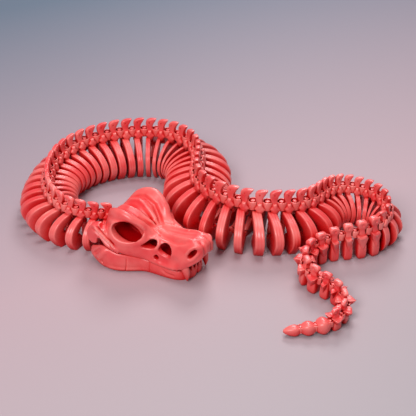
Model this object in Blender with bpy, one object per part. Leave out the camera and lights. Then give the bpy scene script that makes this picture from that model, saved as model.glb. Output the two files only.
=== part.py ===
"""A printed toy: the jointed skeleton of a snake, lying in loops on a flat surface.

Each vertebra is one flat plate with a hooked fin, two side processes and a pair of curled ribs.
A round knob at its head end turns in the C-shaped socket of the vertebra before it. The skull
points 34 degrees to the front of +X. The origin is on the floor, under the middle of the toy.
Lengths below are in millimetres and angles in degrees, until MM turns them into metres.
"""

import math

import bmesh
import bpy
from mathutils import Matrix, Vector

MM = 0.001

# The chain of vertebrae, numbered from 1 behind the skull.
VERTEBRAE = 70
LAST_RIBBED = 53
BEADS_FROM = 68
PER_LENGTH = 7
# The other lengths are carried from trunk_length_5: these turn about the joint behind them.
LENGTHS_BEFORE_FIXED = ("neck_length", "trunk_length_1", "trunk_length_2", "trunk_length_3", "trunk_length_4")
CHAIN_START = (-70.6, -47.7)
START_HEADING = 186.4
# (vertebra, value) pairs, with straight lines between them.
BEND = (
    (0, -6.4), (4, -15.6), (8, -7.1), (13, -10.1), (18, -6.3), (22, -12.9), (24, -14.8),
    (27, -10.5), (30, 13.4), (33, 12.3), (35, 7.8), (36, 13), (38, 7), (40, 19.4), (41, 12.1), (43, -16.1),
    (46, -16.0), (50, -20.8), (53, -22.2), (56, 5.5), (58, 22.3), (61, 30.4), (63, -17.9),
    (65, -32.9), (67, -22.1), (70, 14.0),
)
PITCH = (
    (0, 9.8), (8, 9.3), (18, 10.8), (28, 9.7), (36, 11.4), (44, 7.8), (50, 8.3), (57, 10.9), (70, 9.9),
)
HEIGHT = (
    (1, 35), (4, 38), (12, 44), (18, 46), (38, 46), (41, 44.5), (43, 43), (45, 41.5), (47, 39),
    (50, 37.5), (53, 33.5), (56, 29), (58, 25.5), (60, 24), (64, 20), (67, 16.5),
    (68, 13), (69, 11), (70, 8.5),
)
CAGE = (
    (1, 16), (4, 19.5), (7, 23.5), (11, 22.5), (14, 25.5), (19, 27.5), (36, 27.5), (41, 22),
    (45, 17), (50, 14.3), (52, 10.5), (53, 8),
)
# Ribs stand this far tailwards of the middle at the spine, and more with each millimetre outwards.
ROOT_SHIFT = ((8, 0), (14, -2), (24, -2), (33, -3.2), (41, -3.2), (48, 0))
SWEEP = ((7, 0.33), (13, 0.10), (24, 0.10), (33, 0.235), (41, 0.235), (48, 0.29))
FOOT = ((44, 0.72), (53, 0.46))  # the outer edge of a rib's foot, as a share of the cage's half width
WING = ((54, 8.0), (60, 8.5), (65, 7.8), (67, 7.0))  # half width over the side processes of the tail
KNOB_SHARE = ((1, 0.70), (52, 0.70), (57, 0.66), (62, 0.56), (67, 0.50))  # of the height

# One vertebra, for a height of FULL_HEIGHT. Widths along the body are shares of the pitch.
FULL_HEIGHT = 46.0
FIN_DROP = 8.0
CENTRUM_DROP = 10.5
PROCESS_DROP = 13.2
ROOT_DROP = 17.0
RIB_THICK = 6.5
RIB_SHARE = 0.56
RIB_ROOM = 0.80  # of the space that a tight bend leaves on its inside
FOOT_INNER = 0.15  # where a foot ends near the middle, as a share of the cage's half width
FOOT_BAR = 5.0  # how high a foot is
CORE_HALF_WIDTH = 2.1
CORE_HALF_HEIGHT = 3.2

# The links between lengths.
KNOB_RADIUS = 1.9
SOCKET_GAP = 0.4
SOCKET_WALL = 1.2
SOCKET_MOUTH = 50.0  # half angle of its opening, which is narrower than the knob
NECK_HALF_WIDTH = 0.8
BEHIND_JOINT = 3.4  # from a joint to the plate behind it, clear of the socket's two tips

# The skull, in its own frame: forwards from the neck joint, to its left, and up.
SKULL_YAW = -34.0

PRINT_PINK = (0.72, 0.10, 0.11)


def between(pairs, at):
    """The value at a vertebra number, on straight lines between the pairs."""
    if at <= pairs[0][0]:
        return pairs[0][1]
    for (a, low), (b, high) in zip(pairs, pairs[1:]):
        if at <= b:
            return low + (high - low) * (at - a) / (b - a)
    return pairs[-1][1]


class Place:
    """A frame on the floor: along (x), to the left (y) and up."""

    def __init__(self, x, y, heading):
        self.origin = Vector((x, y, 0))
        self.along = Vector((math.cos(heading), math.sin(heading), 0))
        self.left = Vector((-self.along.y, self.along.x, 0))

    def at(self, x, y, z):
        return (self.origin + self.along * x + self.left * y + Vector((0, 0, z))) * MM


def chain():
    """The joints (0 to VERTEBRAE) and each vertebra's frame and pitch."""
    heading = math.radians(START_HEADING)
    joints = [Vector(CHAIN_START)]
    places = {}
    for number in range(1, VERTEBRAE + 1):
        pitch = between(PITCH, number)
        along = Vector((math.cos(heading), math.sin(heading)))
        joints.append(joints[-1] + along * pitch)
        middle = (joints[-2] + joints[-1]) / 2
        places[number] = (Place(middle.x, middle.y, heading), pitch)
        heading += math.radians(between(BEND, number))
    return joints, places


def knob_height(joint):
    """Height of the joint behind vertebra number joint."""
    at = joint + 0.5
    return between(HEIGHT, at) * between(KNOB_SHARE, at)


def mesh_object(name, vertices, faces):
    mesh = bpy.data.meshes.new(name)
    mesh.from_pydata(vertices, [], faces)
    edit = bmesh.new()
    edit.from_mesh(mesh)
    bmesh.ops.recalc_face_normals(edit, faces=edit.faces)
    if edit.calc_volume(signed=True) < 0:
        bmesh.ops.reverse_faces(edit, faces=edit.faces)
    edit.to_mesh(mesh)
    edit.free()
    made = bpy.data.objects.new(name, mesh)
    bpy.context.scene.collection.objects.link(made)
    return made


def plate(name, place, outline, caps):
    """A plate between a front and a back face. The outline points are (y, z, front x, back x)."""
    count = len(outline)
    front = [place.at(x_front, y, z) for y, z, x_front, _ in outline]
    back = [place.at(x_back, y, z) for y, z, _, x_back in outline]
    faces = [tuple(cap) for cap in caps] + [tuple(count + k for k in reversed(cap)) for cap in caps]
    for k in range(count):
        after = (k + 1) % count
        faces.append((k, after, count + after, count + k))
    return mesh_object(name, front + back, faces)


def prism(name, place, outline, low, high):
    """An upright prism over an outline of (x, y) points."""
    count = len(outline)
    lower = [place.at(x, y, low) for x, y in outline]
    upper = [place.at(x, y, high) for x, y in outline]
    faces = [tuple(range(count)), tuple(reversed(range(count, 2 * count)))]
    for k in range(count):
        after = (k + 1) % count
        faces.append((k, after, count + after, count + k))
    return mesh_object(name, lower + upper, faces)


def rib_width(number, pitch, side):
    """How wide a rib is along the body: less on the inside of a tight bend, so that ribs don't meet."""
    half = (between(BEND, number - 1) + between(BEND, number)) / 2
    inside = max(abs(between(BEND, number - 1)), abs(between(BEND, number))) if half * side > 0 else 0
    room = pitch - between(CAGE, number) * math.radians(inside)
    return max(min(RIB_SHARE * pitch, RIB_ROOM * room), 1.6)


def rib_side(number, pitch, height, side):
    """The outline of one rib, from its outer root down to the foot and up its inner edge."""
    scale = height / FULL_HEIGHT
    reach = between(CAGE, number)
    half_width = rib_width(number, pitch, side) / 2
    middle = 0.31 * height
    foot = between(FOOT, number)
    inner = reach - RIB_THICK * scale
    rise = height - ROOT_DROP * scale - middle
    shift = between(ROOT_SHIFT, number)
    sweep = between(SWEEP, number)

    def point(y, z):
        x = shift + sweep * y
        return (side * y, z, x - half_width, x + half_width)

    outer_turns = [math.radians(a) for a in (57, 24, -14)]
    points = []
    for turn in outer_turns:
        bulge = 1.12 if turn > 0 else 1.3
        points.append(point(reach * math.cos(turn), middle + rise * bulge * math.sin(turn)))
    points.append(point(foot * reach, 0))
    points.append(point(FOOT_INNER * reach, 0))
    points.append(point(FOOT_INNER * reach, FOOT_BAR * scale))
    points.append(point(inner, 0.62 * middle))
    points.append(point(0.74 * inner, middle + 0.62 * rise))
    return points


def centrum_front(number, pitch):
    """Where the middle of a plate begins, as a share of the pitch."""
    return BEHIND_JOINT * link_scale(number) / pitch - 0.5


def spine_side(number, pitch, height, side):
    """The outline of the fin, the centrum and one side process, from the top down."""
    scale = height / FULL_HEIGHT
    front = centrum_front(number, pitch)
    points = (
        (1.2, 0, 0.02, 0.36),
        (1.8, FIN_DROP, -0.28, 0.17),
        (3.6, CENTRUM_DROP, front, 0.26),
        (8.4, PROCESS_DROP, 0.04, 0.32),
        (5.0, ROOT_DROP + 0.6, front, 0.26),
    )
    return [(side * y * scale, height - drop * scale, a * pitch, b * pitch) for y, drop, a, b in points]


def tail_side(number, pitch, height, side):
    """The same for a tail vertebra, which has a fan-shaped fin and stands on one column."""
    scale = height / FULL_HEIGHT
    front = centrum_front(number, pitch)
    points = (
        (1.6, 0, -0.12, 0.36),
        (2.4, FIN_DROP - 1.5, -0.30, 0.36),
        (5.0, CENTRUM_DROP, front, 0.26),
        (between(WING, number) / scale, PROCESS_DROP + 3, 0.04, 0.30),
        (7.4, ROOT_DROP + 9, front, 0.26),
        (5.6, FULL_HEIGHT, -0.17, 0.20),
    )
    return [(side * y * scale, height - drop * scale, a * pitch, b * pitch) for y, drop, a, b in points]


def vertebra(number, place, pitch):
    height = between(HEIGHT, number)
    if number <= LAST_RIBBED:
        left = spine_side(number, pitch, height, 1) + rib_side(number, pitch, height, 1)
        right = spine_side(number, pitch, height, -1) + rib_side(number, pitch, height, -1)
        top = height - (ROOT_DROP + 4) * height / FULL_HEIGHT
        outline = left + [(0, top, centrum_front(number, pitch) * pitch, 0.26 * pitch)] + right[::-1]
        keel = len(left)
        side_caps = ((2, 3, 4), (4, 5, 12), (4, 12, keel), (5, 6, 11, 12), (6, 7, 11), (7, 8, 9, 10, 11))
        middle_caps = ((0, 1), (1, 2), (2, 4, keel))
    else:
        left = tail_side(number, pitch, height, 1)
        right = tail_side(number, pitch, height, -1)
        outline = left + right[::-1]
        side_caps = ((2, 3, 4),)
        middle_caps = ((0, 1), (1, 2), (2, 4), (4, 5))
    last = len(outline) - 1
    caps = []
    for cap in side_caps:
        caps += [cap, tuple(last - k for k in reversed(cap))]
    for cap in middle_caps:
        caps.append(cap + tuple(last - k for k in reversed(cap) if last - k not in cap))
    return plate("vertebra", place, outline, caps)


def bead(number, place, pitch):
    """A round tail bead. The last one is a cone."""
    radius = between(HEIGHT, number) / 2
    last = number == VERTEBRAE
    rings = (
        ((-0.46, 0.55), (-0.15, 1.0), (0.15, 0.98), (0.45, 0.62), (0.8, 0.25))
        if last
        else ((-0.44, 0.5), (-0.22, 0.92), (0.08, 1.0), (0.34, 0.72), (0.46, 0.4))
    )
    sides = 8
    vertices = []
    for share, size in rings:
        for k in range(sides):
            turn = math.tau * (k + 0.5) / sides
            z = radius * 0.94 + radius * size * math.sin(turn)
            vertices.append(place.at(share * pitch, radius * size * math.cos(turn), max(z, 0)))
    faces = [tuple(range(sides)), tuple(reversed(range(len(vertices) - sides, len(vertices))))]
    for ring in range(len(rings) - 1):
        for k in range(sides):
            after = (k + 1) % sides
            start = ring * sides
            faces.append((start + k, start + sides + k, start + sides + after, start + after))
    return mesh_object("bead", vertices, faces)


def core(points, heights, sizes):
    """A bar of rectangular section through the points on the floor plan."""
    vertices, faces = [], []
    for k, point in enumerate(points):
        before = points[max(k - 1, 0)]
        after = points[min(k + 1, len(points) - 1)]
        along = (after - before).normalized()
        left = Vector((-along.y, along.x))
        scale = sizes[k]
        for y, z in ((-1, -1), (1, -1), (1, 1), (-1, 1)):
            x_y = point + left * y * CORE_HALF_WIDTH * scale
            vertices.append(Vector((x_y.x, x_y.y, heights[k] + z * CORE_HALF_HEIGHT * scale)) * MM)
    for k in range(len(points) - 1):
        for side in range(4):
            after = (side + 1) % 4
            a = k * 4
            faces.append((a + side, a + after, a + 4 + after, a + 4 + side))
    end = len(vertices) - 4
    faces += [(3, 2, 1, 0), (end, end + 1, end + 2, end + 3)]
    return mesh_object("core", vertices, faces)


def arc(radius, start, stop, steps):
    return [
        (
            radius * math.cos(math.radians(start + (stop - start) * k / steps)),
            radius * math.sin(math.radians(start + (stop - start) * k / steps)),
        )
        for k in range(steps + 1)
    ]


def socket_outline(scale):
    inner = KNOB_RADIUS * scale + SOCKET_GAP
    outer = inner + SOCKET_WALL * scale
    return arc(inner, SOCKET_MOUTH, 360 - SOCKET_MOUTH, 7) + arc(outer, 360 - SOCKET_MOUTH, SOCKET_MOUTH, 6)


def link_scale(joint):
    return between(((0, 0.8), (10, 1.0), (42, 1.0), (56, 0.78), (70, 0.62)), joint)


def socket(joint, spot, heading):
    """The C-shaped end that holds the next knob, open towards the tail."""
    scale = link_scale(joint)
    place = Place(spot.x, spot.y, heading)
    middle = knob_height(joint)
    half = CORE_HALF_HEIGHT * scale
    return prism("socket", place, socket_outline(scale), middle - half, middle + half)


def knob(joint, spot, heading, reach):
    """The round knob in front of a vertebra, with the neck that carries it."""
    scale = link_scale(joint)
    place = Place(spot.x, spot.y, heading)
    middle = knob_height(joint)
    half = CORE_HALF_HEIGHT * scale
    radius = KNOB_RADIUS * scale
    side = math.degrees(math.asin(NECK_HALF_WIDTH * scale / radius))
    outline = arc(radius, side, 360 - side, 8)
    outline += [(reach, -NECK_HALF_WIDTH * scale), (reach, NECK_HALF_WIDTH * scale)]
    return prism("knob", place, outline, middle - half, middle + half)


def join(pieces, name):
    bpy.ops.object.select_all(action="DESELECT")
    for piece in pieces:
        piece.select_set(True)
    bpy.context.view_layer.objects.active = pieces[0]
    if len(pieces) > 1:
        bpy.ops.object.join()
    pieces[0].name = name
    return pieces[0]


def cut_or_join(target, other, operation):
    """Applies a Boolean and removes the other object."""
    modifier = target.modifiers.new("shape", "BOOLEAN")
    modifier.operation = operation
    modifier.solver = "EXACT"
    modifier.object = other
    bpy.ops.object.select_all(action="DESELECT")
    target.select_set(True)
    bpy.context.view_layer.objects.active = target
    bpy.ops.object.modifier_apply(modifier=modifier.name)
    bpy.data.objects.remove(other)
    return target


def tidied(body):
    """Merges flat neighbours that the Booleans left, then makes triangles."""
    edit = bmesh.new()
    edit.from_mesh(body.data)
    bmesh.ops.remove_doubles(edit, verts=edit.verts, dist=0.002 * MM)
    bmesh.ops.dissolve_limit(
        edit, angle_limit=math.radians(0.05), verts=edit.verts, edges=edit.edges, delimit={"NORMAL"}
    )
    bmesh.ops.triangulate(edit, faces=edit.faces)
    edit.to_mesh(body.data)
    edit.free()
    return body


def one_length(name, first, last, joints, places):
    """The vertebrae first to last on one core, with a knob in front and a socket behind."""
    plates = []
    points, heights, sizes = [], [], []
    for number in range(first, last + 1):
        place, pitch = places[number]
        make = bead if number >= BEADS_FROM else vertebra
        plates.append(make(number, place, pitch))
        middle = Vector((place.origin.x, place.origin.y))
        points.append(middle)
        heights.append((knob_height(number - 1) + knob_height(number)) / 2)
        sizes.append(link_scale(number))
    if last < VERTEBRAE:
        place, pitch = places[last]
        scale = link_scale(last)
        along = Vector((place.along.x, place.along.y))
        reach = KNOB_RADIUS * scale + SOCKET_GAP + 0.6 * SOCKET_WALL * scale
        points.append(joints[last] - along * reach)
        heights.append(knob_height(last))
        sizes.append(scale)
    body = core(points, heights, sizes)
    cut_or_join(body, join(plates, "plates"), "UNION")
    place, pitch = places[first]
    heading = math.atan2(place.along.y, place.along.x)
    cut_or_join(body, knob(first - 1, joints[first - 1], heading, 0.5 * pitch), "UNION")
    if last < VERTEBRAE:
        place, pitch = places[last]
        heading = math.atan2(place.along.y, place.along.x) + math.radians(between(BEND, last)) / 2
        cut_or_join(body, socket(last, joints[last], heading), "UNION")
    body.name = name
    body.data.name = name
    return body


# Skull stations: forwards, half width, underside, middle of the top, ridge height, ridge offset.
CRANIUM = (
    (4, 15, 20, 31, 33.5, 10),
    (11, 25, 16, 35, 40, 15),
    (19, 29, 13.8, 37, 44.5, 18),
    (27, 28.5, 12.6, 35.5, 44.5, 18),
    (35, 24, 11.4, 30.5, 40.5, 16),
    (42, 19.5, 10, 27.3, 34, 12),
    (50, 18, 9.2, 32, 31, 8),
    (62, 17.2, 8.2, 33.5, 32, 8),
    (71, 15.5, 9.0, 34, 32.5, 8),
    (78.5, 12.5, 15, 33, 31.5, 7),
    (84, 8.5, 21, 27.5, 27, 4.5),
)
# The lower jaw along its outer line: forwards, half width, height.
JAW = (
    (-2, 27, 12.5), (5, 29.5, 13.6), (14, 30.7, 12.8), (22, 31.5, 12.2), (28, 29, 11.2), (36, 22.7, 9.4),
    (42, 17.8, 8.2), (54, 17, 7.6), (64, 15.8, 7), (69.5, 10, 7.6), (71.5, 4, 8),
)
JAW_THICK = 5.0
# Outlines seen from the side, as forwards and up.
CHEEK = ((-3, 16.4), (-4, 24), (0, 31), (7, 33), (16, 24), (26, 17), (24, 14), (13, 15), (3, 15.6))
TEARDROP = ((38.5, 15.5), (43, 18), (49, 21.5), (51, 25), (47.5, 24.5), (43, 21))
DIAMOND = ((54, 17.5), (57.5, 25), (63, 25.5), (63.5, 21.5), (59.5, 17))
SEPTUM = 9.0


def skull_place():
    return Place(CHAIN_START[0], CHAIN_START[1], math.radians(SKULL_YAW))


def cranium(place):
    """The skull above the jaw line, as one skin over its stations."""
    rows = []
    for forwards, half, low, middle, ridge, offset in CRANIUM:
        side_top = low + 0.5 * (ridge - low)
        right = [(0.0, low + 2), (0.7 * half, low + 1.2), (half, low)]
        right += [(0.94 * half, side_top), (offset, ridge)]
        row = right + [(0.0, middle)] + [(-y, z) for y, z in right[:0:-1]]
        rows.append([place.at(forwards, y, z) for y, z in row])
    count = len(rows[0])
    faces = [tuple(range(count)), tuple(reversed(range((len(rows) - 1) * count, len(rows) * count)))]
    for k in range(len(rows) - 1):
        for side in range(count):
            after = (side + 1) % count
            a = k * count
            faces.append((a + side, a + after, a + count + after, a + count + side))
    return mesh_object("skull", [v for row in rows for v in row], faces)


def ellipse(x, z, half_x, half_z, tilt, steps):
    turn = math.radians(tilt)
    points = []
    for k in range(steps):
        angle = math.tau * k / steps
        a, b = half_x * math.cos(angle), half_z * math.sin(angle)
        across = a * math.cos(turn) - b * math.sin(turn)
        points.append((x + across, z + a * math.sin(turn) + b * math.cos(turn)))
    return points


def cone(place, base, tip, radius, sides=6):
    """A tooth from its base down to its tip, in the skull's frame."""
    ring = [
        place.at(
            base[0] + radius * math.cos(math.tau * k / sides),
            base[1] + radius * math.sin(math.tau * k / sides),
            base[2],
        )
        for k in range(sides)
    ]
    faces = [tuple(range(sides))] + [(k, (k + 1) % sides, sides) for k in range(sides)]
    return mesh_object("tooth", ring + [place.at(*tip)], faces)


def plate_along(place, outline, inner, outer):
    """A plate standing along the skull, over an outline of (forwards, up) points."""
    count = len(outline)
    first = [place.at(x, inner, z) for x, z in outline]
    second = [place.at(x, outer, z) for x, z in outline]
    faces = [tuple(range(count)), tuple(reversed(range(count, 2 * count)))]
    faces += [(k, (k + 1) % count, count + (k + 1) % count, count + k) for k in range(count)]
    return mesh_object("plate", first + second, faces)


def side_pockets(body, place, outline):
    """Cuts the same pocket into both sides of the skull."""
    for side in (-1, 1):
        cut_or_join(body, plate_along(place, outline, side * SEPTUM, side * 40), "DIFFERENCE")


def skull():
    place = skull_place()
    body = cranium(place)
    for side in (-1, 1):
        cut_or_join(body, plate_along(place, CHEEK, side * 21, side * 28.5), "UNION")
    side_pockets(body, place, ellipse(25.5, 29.5, 10.5, 8, 6, 12))
    side_pockets(body, place, TEARDROP)
    side_pockets(body, place, DIAMOND)
    for side in (-1, 1):
        cut_or_join(body, cone(place, (71.5, side * 12.5, 13), (75, side * 11.8, 0.9), 2.6), "UNION")
    cut_or_join(body, socket(0, Vector(CHAIN_START), math.radians(START_HEADING)), "UNION")
    bridge = core(
        [Vector(CHAIN_START) + Vector((place.along.x, place.along.y)) * d for d in (2.3, 8.0)],
        [knob_height(0)] * 2,
        [link_scale(0)] * 2,
    )
    cut_or_join(body, bridge, "UNION")
    body.name = body.data.name = "skull"
    return body


def lower_jaw():
    """A flat bow on the floor, with its two ends raised under the cheeks."""
    place = skull_place()
    vertices, faces = [], []
    stations = [(x, y, z, 1) for x, y, z in JAW] + [(x, -y, z, -1) for x, y, z in reversed(JAW)]
    for x, y, z, side in stations:
        inner_x = min(x, JAW[-1][0] - JAW_THICK)
        inner_y = side * max(abs(y) - JAW_THICK, 1.5)
        vertices += [place.at(x, y, 0), place.at(x, y, z)]
        vertices += [place.at(inner_x, inner_y, z), place.at(inner_x, inner_y, 0)]
    for k in range(len(stations) - 1):
        for side in range(4):
            after = (side + 1) % 4
            a = k * 4
            faces.append((a + side, a + after, a + 4 + after, a + 4 + side))
    end = len(vertices) - 4
    faces += [(3, 2, 1, 0), (end, end + 1, end + 2, end + 3)]
    return mesh_object("lower_jaw", vertices, faces)


def printed_pink(name):
    material = bpy.data.materials.new(name)
    material.use_nodes = True
    shader = material.node_tree.nodes["Principled BSDF"]
    shader.inputs["Base Color"].default_value = (*PRINT_PINK, 1)
    shader.inputs["Roughness"].default_value = 0.38
    shader.inputs["Metallic"].default_value = 0.0
    return material


def recentre(made):
    """Moves the toy so that the origin is under the middle of its box, and returns the move."""
    corners = [vertex.co for body in made for vertex in body.data.vertices]
    shift = Vector((0, 0, 0))
    for axis in (0, 1):
        values = [corner[axis] for corner in corners]
        shift[axis] = -(min(values) + max(values)) / 2
    for body in made:
        body.data.transform(Matrix.Translation(shift))
    return shift


def turn_about(body, axis_point):
    """Puts the object's origin on its joint's axis and leaves its shape where it is."""
    body.data.transform(Matrix.Translation(-axis_point))
    body.location = axis_point


def length_names():
    """Each length's name with its first and last vertebra."""
    names = ["neck_length"] + [f"trunk_length_{k}" for k in range(1, 8)] + ["tail_length_1", "tail_length_2"]
    return [(name, k * PER_LENGTH + 1, (k + 1) * PER_LENGTH) for k, name in enumerate(names)]


def joint_point(joint, joints, shift):
    """The middle of a joint's knob, in metres."""
    return Vector((joints[joint].x, joints[joint].y, knob_height(joint))) * MM + shift


def main():
    for old in list(bpy.data.objects):
        bpy.data.objects.remove(old)
    joints, places = chain()
    made = [skull(), lower_jaw()]
    for name, first, last in length_names():
        made.append(one_length(name, first, last, joints, places))
    shift = recentre(made)
    for body in made:
        tidied(body)
        body.data.materials.clear()
        body.data.materials.append(printed_pink(body.name + "_print"))
    head = bpy.data.objects.new("head_joint", None)
    bpy.context.scene.collection.objects.link(head)
    head.location = joint_point(0, joints, shift)
    for body in made[:2]:
        turn_about(body, head.location.copy())
        body.location = (0, 0, 0)
        body.parent = head
    for body, (name, first, last) in zip(made[2:], length_names()):
        joint = last if name in LENGTHS_BEFORE_FIXED else first - 1
        turn_about(body, joint_point(joint, joints, shift))


main()
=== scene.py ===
"""The looks of a printed toy: the jointed skeleton of a snake, lying in loops on a pale floor.

Each shape is modelled in millimetres, with x towards the tail, y to the left and z up, and is then
copied to its place along the spine. The skull is modelled with x towards the nose.
"""

import math

import bmesh
import bpy
import numpy as np
from mathutils import Matrix, Vector


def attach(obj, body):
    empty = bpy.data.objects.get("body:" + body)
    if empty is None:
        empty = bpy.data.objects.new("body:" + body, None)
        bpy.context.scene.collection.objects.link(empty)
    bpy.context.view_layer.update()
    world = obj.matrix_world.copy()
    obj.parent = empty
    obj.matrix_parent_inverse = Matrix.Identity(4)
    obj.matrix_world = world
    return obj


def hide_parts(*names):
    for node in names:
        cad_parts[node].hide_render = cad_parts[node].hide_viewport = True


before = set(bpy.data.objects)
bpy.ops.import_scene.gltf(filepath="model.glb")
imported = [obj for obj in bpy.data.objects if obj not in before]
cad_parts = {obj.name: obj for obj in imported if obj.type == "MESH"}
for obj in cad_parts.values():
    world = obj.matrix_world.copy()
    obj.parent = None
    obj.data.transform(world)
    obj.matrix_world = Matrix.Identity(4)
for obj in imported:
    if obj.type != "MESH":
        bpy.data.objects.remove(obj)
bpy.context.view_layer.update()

MM = 0.001

# ---- The spine: lengths in millimetres, angles in degrees, vertebrae numbered from 1 behind the skull ----
VERTEBRAE = 70
LAST_RIBBED = 53
BEADS_FROM = 68
PER_LENGTH = 7  # vertebrae that move as one
CHAIN_START = (-70.72, -14.70)
START_HEADING = 186.4
SKULL_YAW = -34.0
# A rib's foot on the floor, as shares of its reach, and the height of the bar that lies there.
OPEN_FOOT = 0.72
FOOT_INNER = 0.15
FOOT_BAR = 5.0

# Each table holds (vertebra, value) pairs, with straight lines between them.
# The turn at the link behind a vertebra.
BEND = (
    (0, -6.4), (4, -15.6), (8, -7.1), (13, -10.1), (18, -6.3), (22, -12.9), (24, -14.8), (27, -10.5),
    (30, 13.4), (33, 12.3), (35, 7.8), (36, 13), (38, 7), (40, 19.4), (41, 12.1), (43, -16.1), (46, -16.0),
    (50, -20.8), (53, -22.2), (56, 5.5), (58, 22.3), (61, 30.4), (63, -17.9), (65, -32.9), (67, -22.1),
    (70, 14.0),
)
# From one link to the next.
PITCH = ((0, 9.8), (8, 9.3), (18, 10.8), (28, 9.7), (36, 11.4), (44, 7.8), (50, 8.3), (57, 10.9), (70, 9.9))
# The top of the fin above the floor.
HEIGHT = (
    (1, 35), (4, 38), (12, 44), (18, 46), (38, 46), (41, 44.5), (43, 43), (45, 41.5), (47, 39), (50, 37.5),
    (53, 33.5), (56, 29), (58, 25.5), (60, 24), (64, 20), (67, 16.5), (68, 13), (69, 11), (70, 8.5),
)
# From the middle out to a rib's widest place.
CAGE = (
    (1, 16), (4, 19.5), (7, 23.5), (11, 22.5), (14, 25.5), (19, 27.5), (36, 27.5), (41, 22), (45, 17),
    (50, 14.3), (52, 10.5), (53, 8),
)
# A rib stands this far tailwards of the middle at the spine, and more with each millimetre outwards.
ROOT_SHIFT = ((8, 0), (14, -2), (24, -2), (33, -3.2), (41, -3.2), (48, 0))
SWEEP = ((7, 0.33), (13, 0.10), (24, 0.10), (33, 0.235), (41, 0.235), (48, 0.29))
# How far tailwards a rib's inner edge stands, for each millimetre of its depth.
TWIST = ((30, 0.0), (32, 0.18), (34, 0.30), (35, 0.20), (36, 0.12), (37, 0.0))
# How far out a rib's foot ends, as a share of its reach.
FOOT = ((44, OPEN_FOOT), (53, 0.46))
# A rib's width as a share of its pitch: less where the nose and the tail pass close by.
RIB_SHARE = (
    (1, 0.58), (10, 0.60), (31, 0.66), (33, 0.55), (34, 0.50), (35, 0.58), (37, 0.68), (39, 0.62), (41, 0.62),
    (43, 0.68),
)
# A rib's width as a share of the room it has inside a bend, between ribs that never move.
ROOM_WITHIN = ((30, 0.84), (42, 0.90), (44, 1.10))
# How far out a tail vertebra's leaf reaches, and how long it is: shorter beside a hinge.
WING = ((54, 8.0), (60, 8.5), (65, 7.8), (67, 7.0))
LEAF_LENGTH = ((55, 1.0), (56, 0.70), (57, 0.70), (58, 1.0), (62, 1.0), (63, 0.54), (64, 0.54), (65, 1.0))
# A link's height as a share of the spine's, and its size.
KNOB_SHARE = ((1, 0.74), (52, 0.74), (57, 0.68), (62, 0.58), (67, 0.50))
LINK_SIZE = ((0, 0.8), (10, 1.0), (42, 1.0), (56, 0.78), (70, 0.62))

# Beside a hinge between two lengths: a rib's share of its pitch and of its room, and a tail vertebra's share.
JOINT_SHARE = 0.58
JOINT_ROOM = 0.80
TAIL_JOINT_SHARE = 0.92
THINNEST_RIB = 1.6

# One vertebra at full size.
FULL_HEIGHT = 46.0
FULL_PITCH = 10.8
FULL_REACH = 27.5
FULL_SHARE = 0.68  # the rib's width, as a share of the pitch
ROOT_DROP = 17.0  # from the top of the fin down to the rib's root
WIDEST_AT = 0.31  # the height of a rib's widest place, as a share of the vertebra's
SHOULDER_BULGE = 1.12  # how much higher than an oval a rib starts
FOOT_CURVE = 1.7  # above 1, a rib turns in more and more towards its foot
# How deep a rib is, from its root over its widest place down to the floor.
RIB_DEPTHS = ((88, 7.0), (44, 11.5), (0, 17.5), (-90, 17.5))

# One link.
KNOB_RADIUS = 2.05
SOCKET_INNER = 3.2
SOCKET_OUTER = 4.2
SOCKET_MOUTH = 42.0
LINK_HALF_HEIGHT = 3.4

# Beads and the end cone as rings of (place along the body, radius).
BEAD_RINGS = (
    (-0.50, 0.30), (-0.48, 0.50), (-0.30, 0.70), (-0.05, 0.88), (0.2, 0.80), (0.42, 0.58), (0.5, 0.4),
)
CONE_RINGS = ((-0.50, 0.35), (-0.46, 0.52), (-0.25, 0.84), (0.0, 0.90), (0.35, 0.68), (0.75, 0.20))
BEAD_LUMPS = 1.3
BEAD_LIFT = 0.90


def between(pairs, at):
    """The value at a number, on straight lines between the pairs."""
    if at <= pairs[0][0]:
        return pairs[0][1]
    for (a, low), (b, high) in zip(pairs, pairs[1:]):
        if at <= b:
            return low + (high - low) * (at - a) / (b - a)
    return pairs[-1][1]


# ---- Working in edit mode ----
def put_tools_down():
    """Leaves edit mode with nothing selected."""
    if bpy.context.object and bpy.context.object.mode == "EDIT":
        bpy.ops.object.mode_set(mode="OBJECT")
    bpy.ops.object.select_all(action="DESELECT")


def work_on(piece):
    """Selects the piece alone."""
    put_tools_down()
    piece.select_set(True)
    bpy.context.view_layer.objects.active = piece
    return piece


def edit_all(piece):
    """Opens the piece in edit mode, selected all over."""
    work_on(piece)
    bpy.ops.object.mode_set(mode="EDIT")
    bpy.ops.mesh.select_all(action="SELECT")


def start_block(name, low, high, corner=0.0):
    """A block between two corners, open in edit mode, with its upright edges cut off by the corner."""
    put_tools_down()
    middle = [(a + b) / 2 for a, b in zip(low, high)]
    bpy.ops.mesh.primitive_cube_add(size=1, location=middle, scale=[b - a for a, b in zip(low, high)])
    piece = bpy.context.object
    piece.name = name
    bpy.ops.object.transform_apply(location=True, rotation=True, scale=True)
    bpy.ops.object.mode_set(mode="EDIT")
    if corner:
        pick("EDGE", lambda middle, along: abs(along.z) > 0.9)
        bpy.ops.mesh.bevel(offset=corner, segments=1, affect="EDGES")
    return piece


def pick(kind, test):
    """Selects the faces, edges or vertices that pass a test of their middle and normal."""
    mesh = bpy.context.object.data
    edit = bmesh.from_edit_mesh(mesh)
    bpy.ops.mesh.select_mode(type=kind)
    bpy.ops.mesh.select_all(action="DESELECT")
    if kind == "FACE":
        for face in edit.faces:
            face.select_set(test(face.calc_center_median(), face.normal))
    elif kind == "EDGE":
        for edge in edit.edges:
            a, b = (vertex.co for vertex in edge.verts)
            edge.select_set(test((a + b) / 2, (b - a).normalized()))
    else:
        for vertex in edit.verts:
            vertex.select_set(test(vertex.co, vertex.normal))
    edit.select_flush_mode()
    bmesh.update_edit_mesh(mesh)


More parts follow.
